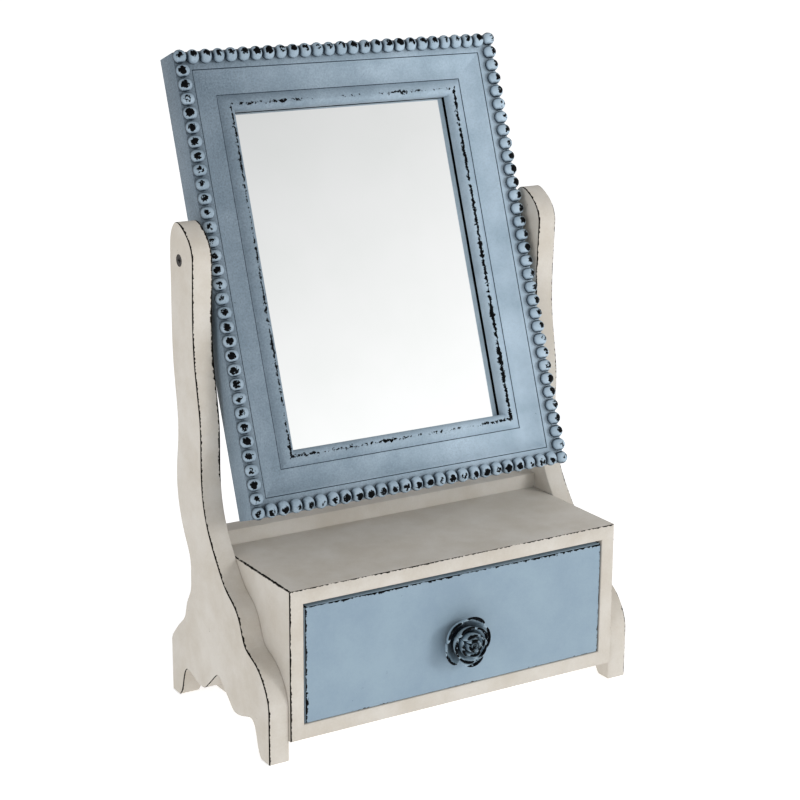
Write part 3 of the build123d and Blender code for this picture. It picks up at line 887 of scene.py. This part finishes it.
# Mirror glass, its edges ground, with the silvering where it is seen
bpy.ops.object.select_all(action="DESELECT")
glass_size = [
    (side - 2 * MOULDING_WIDTH + 2 * RABBET_WIDTH - 2 * GLASS_CLEARANCE) * MM
    for side in (FRAME_WIDTH, FRAME_HEIGHT)
]
silver_drop = (LIP_DROP + SILVER_BEHIND_LIP + GLASS_SHOWN_THICKNESS / 2) * MM
bpy.ops.mesh.primitive_cube_add(size=1, location=(0, 0, -silver_drop))
glass = named("mirror_glass_silvered")
glass.scale = (*glass_size, GLASS_SHOWN_THICKNESS * MM)
bpy.ops.object.transform_apply(location=True, rotation=True, scale=True)
edit(glass, "EDGE")
bpy.ops.mesh.select_all(action="SELECT")
bpy.ops.mesh.bevel(offset=GLASS_ARRIS * MM, segments=2, clamp_overlap=False)
close_edit(20)
glass.matrix_world = frame_place
select_only(glass)
bpy.ops.object.transform_apply(location=True, rotation=True, scale=True)
stand_for(glass, "mirror", mirror_silver, "mirror_glass")


def petal(wide, tall, deep, out, rise, lean, turn, curl):
    """One petal, cut from a ball: a cup that leans out from the axis, with its lip curled back."""
    bpy.ops.object.select_all(action="DESELECT")
    bpy.ops.mesh.primitive_uv_sphere_add(segments=24, ring_count=16, radius=1, rotation=(pi / 2, 0, 0))
    made = bpy.context.object
    bpy.ops.object.transform_apply(location=False, rotation=True, scale=True)
    edit(made)
    pick(made, "VERT", lambda point: point.co.y > -BALL_CUT)
    bpy.ops.mesh.delete(type="VERT")
    bpy.ops.mesh.select_all(action="SELECT")
    bpy.ops.transform.resize(value=(wide * MM, deep * MM, tall * MM), center_override=(0, 0, 0))
    bpy.ops.transform.translate(value=(0, BALL_CUT * deep * MM, tall * MM))
    pick(made, "VERT", lambda point: point.co.z > 1.55 * tall * MM)
    bpy.ops.transform.rotate(
        value=-curl,
        orient_axis="X",
        orient_type="GLOBAL",
        center_override=(0, -0.55 * deep * MM, 1.5 * tall * MM),
        use_proportional_edit=True,
        proportional_edit_falloff="SMOOTH",
        proportional_size=0.5 * tall * MM,
    )
    bpy.ops.object.mode_set(mode="OBJECT")
    wall = made.modifiers.new("wall", "SOLIDIFY")
    wall.thickness = PETAL_WALL * MM
    wall.offset = 0
    wall.use_even_offset = True
    smooth = made.modifiers.new("smooth", "SUBSURF")
    smooth.levels = 1
    apply_modifiers(made)

    def height(point):
        return point.z / (tall * MM)

    weather(made, "rubbed", lambda point: 0.76 * min(1, max(0, (height(point) - 1.46) / 0.34)))
    # Glaze and painted shade, thickest low on the petal, under the petals around it
    weather(made, "glaze_and_painted_shade", lambda point: min(1.2, max(0, 1.2 - 0.85 * height(point))))
    bpy.ops.object.shade_smooth()
    made.rotation_euler = (lean, 0, 0)
    made.location = (0, -out * MM, rise * MM)
    select_only(made)
    bpy.ops.object.transform_apply(location=True, rotation=True, scale=True)
    made.rotation_euler = (0, 0, turn)
    bpy.ops.object.transform_apply(location=True, rotation=True, scale=True)
    return made


# Rose knob: rings of cupped petals round a rolled bud, made upward and then turned to the front.
# Each ring: petals, turn of the first, width, height and depth of their balls, place, lean and curl
petals = []
for count, first, wide, tall, deep, out, rise, lean, curl in (
    (5, 18, 10.6, 7.6, 5.8, 6.2, 1.6, 44, 34),
    (5, 54, 8.6, 6.8, 5.0, 4.2, 4.6, 30, 32),
    (4, 10, 6.6, 6.0, 4.4, 2.6, 6.8, 18, 26),
    (3, 70, 4.4, 5.4, 3.4, 1.3, 8.6, 10, 18),
):
    for i in range(count):
        petals.append(
            petal(
                wide * chance.uniform(0.94, 1.05),
                tall * chance.uniform(0.95, 1.03),
                deep,
                out,
                rise,
                radians(lean + chance.uniform(-5, 5)),
                radians(first + 360 / count * i + chance.uniform(-7, 7)),
                radians(curl + chance.uniform(-8, 8)),
            )
        )

# The bud's rolled edge, a ribbon drawn out step by step round the axis
bpy.ops.object.select_all(action="DESELECT")
bpy.ops.mesh.primitive_plane_add(size=MM, location=(0, 0, 0))
bud = bpy.context.object
edit(bud)
bpy.ops.mesh.select_all(action="SELECT")
bpy.ops.mesh.merge(type="CENTER")
bpy.ops.transform.translate(value=(BUD_INNER_RADIUS * MM, 0, BUD_FOOT * MM))
bpy.ops.mesh.extrude_region_move(
    TRANSFORM_OT_translate={"value": (0, 0, (BUD_RIM - BUD_FOOT) * MM)}
)
bpy.ops.mesh.select_all(action="SELECT")
steps = BUD_TURNS * TURN_STEPS
before = Vector((BUD_INNER_RADIUS, 0, 0))
for i in range(1, steps):
    angle = 2 * pi * i / TURN_STEPS
    after = Vector((cos(angle), sin(angle), 0)) * (BUD_INNER_RADIUS + BUD_GROWTH * i / steps)
    bpy.ops.mesh.extrude_region_move(TRANSFORM_OT_translate={"value": (after - before) * MM})
    before = after
bpy.ops.object.mode_set(mode="OBJECT")
wall = bud.modifiers.new("wall", "SOLIDIFY")
wall.thickness = BUD_WALL * MM
wall.offset = 0
smooth = bud.modifiers.new("smooth", "SUBSURF")
smooth.levels = 1
apply_modifiers(bud)
weather(bud, "rubbed", lambda point: 0.9 * min(1, max(0, (point.z / MM - BUD_RIM + 1.6) / 1.2)))
# Glaze and painted shade, thickest low in the bud's roll
weather(bud, "glaze_and_painted_shade", lambda point: min(1.2, max(0.2, (BUD_RIM - 0.4 - point.z / MM) / 2.5)))
bpy.ops.object.shade_smooth()
petals.append(bud)

# The calyx under the petals, turned in one piece with the foot that sits on the drawer
bpy.ops.object.select_all(action="DESELECT")
bpy.ops.mesh.primitive_cone_add(
    vertices=40,
    radius1=CALYX_FOOT_RADIUS * MM,
    radius2=CALYX_NECK_RADIUS * MM,
    depth=CALYX_HEIGHT * MM,
    location=(0, 0, CALYX_HEIGHT / 2 * MM),
)
calyx = bpy.context.object
edit(calyx, "EDGE")


def level(edge):
    """Whether an edge of the calyx lies round its foot or its neck."""
    first, last = (calyx.data.vertices[i].co.z for i in edge.vertices)
    return abs(first - last) < 0.1 * MM


pick(calyx, "EDGE", level)
bpy.ops.mesh.bevel(offset=CALYX_ARRIS * MM, segments=3, clamp_overlap=True)
close_edit(40)
select_only(calyx)
bpy.ops.object.transform_apply(location=True, rotation=True, scale=True)
# Glaze and painted shade over the whole calyx, which lies under the petals
weather(calyx, "glaze_and_painted_shade", lambda point: 0.9)
petals.append(calyx)
rose = join(petals, "rose_knob_painted")

# Its size is made good against the CAD rose, and it is set on the drawer's front
rose_low, rose_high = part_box("rose_knob")
reach = max(point.co.z for point in rose.data.vertices)
spread = max(max(abs(point.co.x), abs(point.co.y)) for point in rose.data.vertices)
across = ROSE_RADIUS * MM / spread * WITHIN_RADIUS
outward = ROSE_REACH * MM / reach * WITHIN_REACH
rose.scale = (across, across, outward)
rose.rotation_euler = (pi / 2, 0, 0)
rose.location = ((rose_low.x + rose_high.x) / 2, rose_high.y, (rose_low.z + rose_high.z) / 2)
select_only(rose)
bpy.ops.object.transform_apply(location=True, rotation=True, scale=True)
stand_for(rose, "drawer", rose_paint, "rose_knob")

# Finish of the pieces that keep their CAD shape
finishes = {
    "case_back_panel": hardboard,
    "mirror_backing_board": hardboard,
    "drawer_bottom": hardboard,
    "drawer_left_side": planed_wood,
    "drawer_right_side": planed_wood,
    "drawer_back": planed_wood,
    "drawer_dowels": planed_wood,
    "left_pivot_screw": black_steel,
    "right_pivot_screw": black_steel,
}
for node_name, piece in frame["nodes"].items():
    piece.data.materials.clear()
    piece.data.materials.append(finishes.get(node_name, zinc_plate))

# Pale floor
bpy.ops.object.select_all(action="DESELECT")
bpy.ops.mesh.primitive_plane_add(size=FLOOR_SIZE, location=(0, 0, -FLOOR_BELOW))
floor = named("studio_floor")
pale = blank_material("pale_floor")
lit = node(pale, "ShaderNodeBsdfDiffuse", {"Color": (0.82, 0.82, 0.82, 1)})
glow = node(pale, "ShaderNodeEmission", {"Color": (1, 1, 1, 1), "Strength": 0.62})
both = node(pale, "ShaderNodeAddShader", {0: lit.outputs[0], 1: glow.outputs[0]})
node(pale, "ShaderNodeOutputMaterial", {"Surface": both.outputs[0]})
floor.data.materials.append(pale)

# Studio: a white room, brightest low down and to the right, with a soft light on each side
world = bpy.data.worlds.new("studio")
bpy.context.scene.world = world
world.use_nodes = True
world.node_tree.nodes.clear()
direction = node(world, "ShaderNodeTexCoord").outputs["Generated"]
toward_light = node(
    world, "ShaderNodeVectorMath", {0: direction, 1: BRIGHT_WAY}, operation="DOT_PRODUCT"
).outputs["Value"]
room = node(
    world,
    "ShaderNodeMapRange",
    {"Value": toward_light, "From Min": -1, "From Max": -0.37, "To Min": 0.47, "To Max": 1.1},
).outputs["Result"]
air = node(world, "ShaderNodeBackground", {"Color": (1, 1, 1, 1), "Strength": room})
node(world, "ShaderNodeOutputWorld", {"Surface": air.outputs[0]})


def soft_light(name, place, aim, size, power):
    """A round light that the mirror and the gloss don't show."""
    bpy.ops.object.select_all(action="DESELECT")
    bpy.ops.object.light_add(type="AREA", location=place)
    light = bpy.context.object
    light.name = name
    light.data.shape = "DISK"
    light.data.size = size
    light.data.energy = power
    light.visible_glossy = False
    light.rotation_euler = (Vector(aim) - light.location).to_track_quat("-Z", "Y").to_euler()


soft_light("front_light", (1.15, -1.75, 0.85), (0, 0, 0.15), 0.7, 14)
soft_light("left_light", (-1.9, -0.5, 0.6), (0, 0, 0.2), 1.6, 8)

# Camera, at the place that the photograph's perspective gives
CAMERA_PLACE = Vector((-709.13, -1153.58, 588.45)) * MM
CAMERA_RIGHT = Vector((0.8522, -0.5231, 0.0054))
CAMERA_BACK = Vector((-0.5049, -0.8197, 0.2705))
FOCAL_LENGTH = 91.67
camera_data = bpy.data.cameras.new("camera")
camera_data.lens = FOCAL_LENGTH
camera_data.sensor_width = 36
camera_data.clip_end = 200
camera = bpy.data.objects.new("camera", camera_data)
bpy.context.scene.collection.objects.link(camera)
back = CAMERA_BACK.normalized()
right = (CAMERA_RIGHT - back * CAMERA_RIGHT.dot(back)).normalized()
up = back.cross(right)
camera.matrix_world = Matrix.Translation(CAMERA_PLACE) @ Matrix((right, up, back)).transposed().to_4x4()
bpy.context.scene.camera = camera
bpy.context.scene.view_settings.view_transform = "Standard"
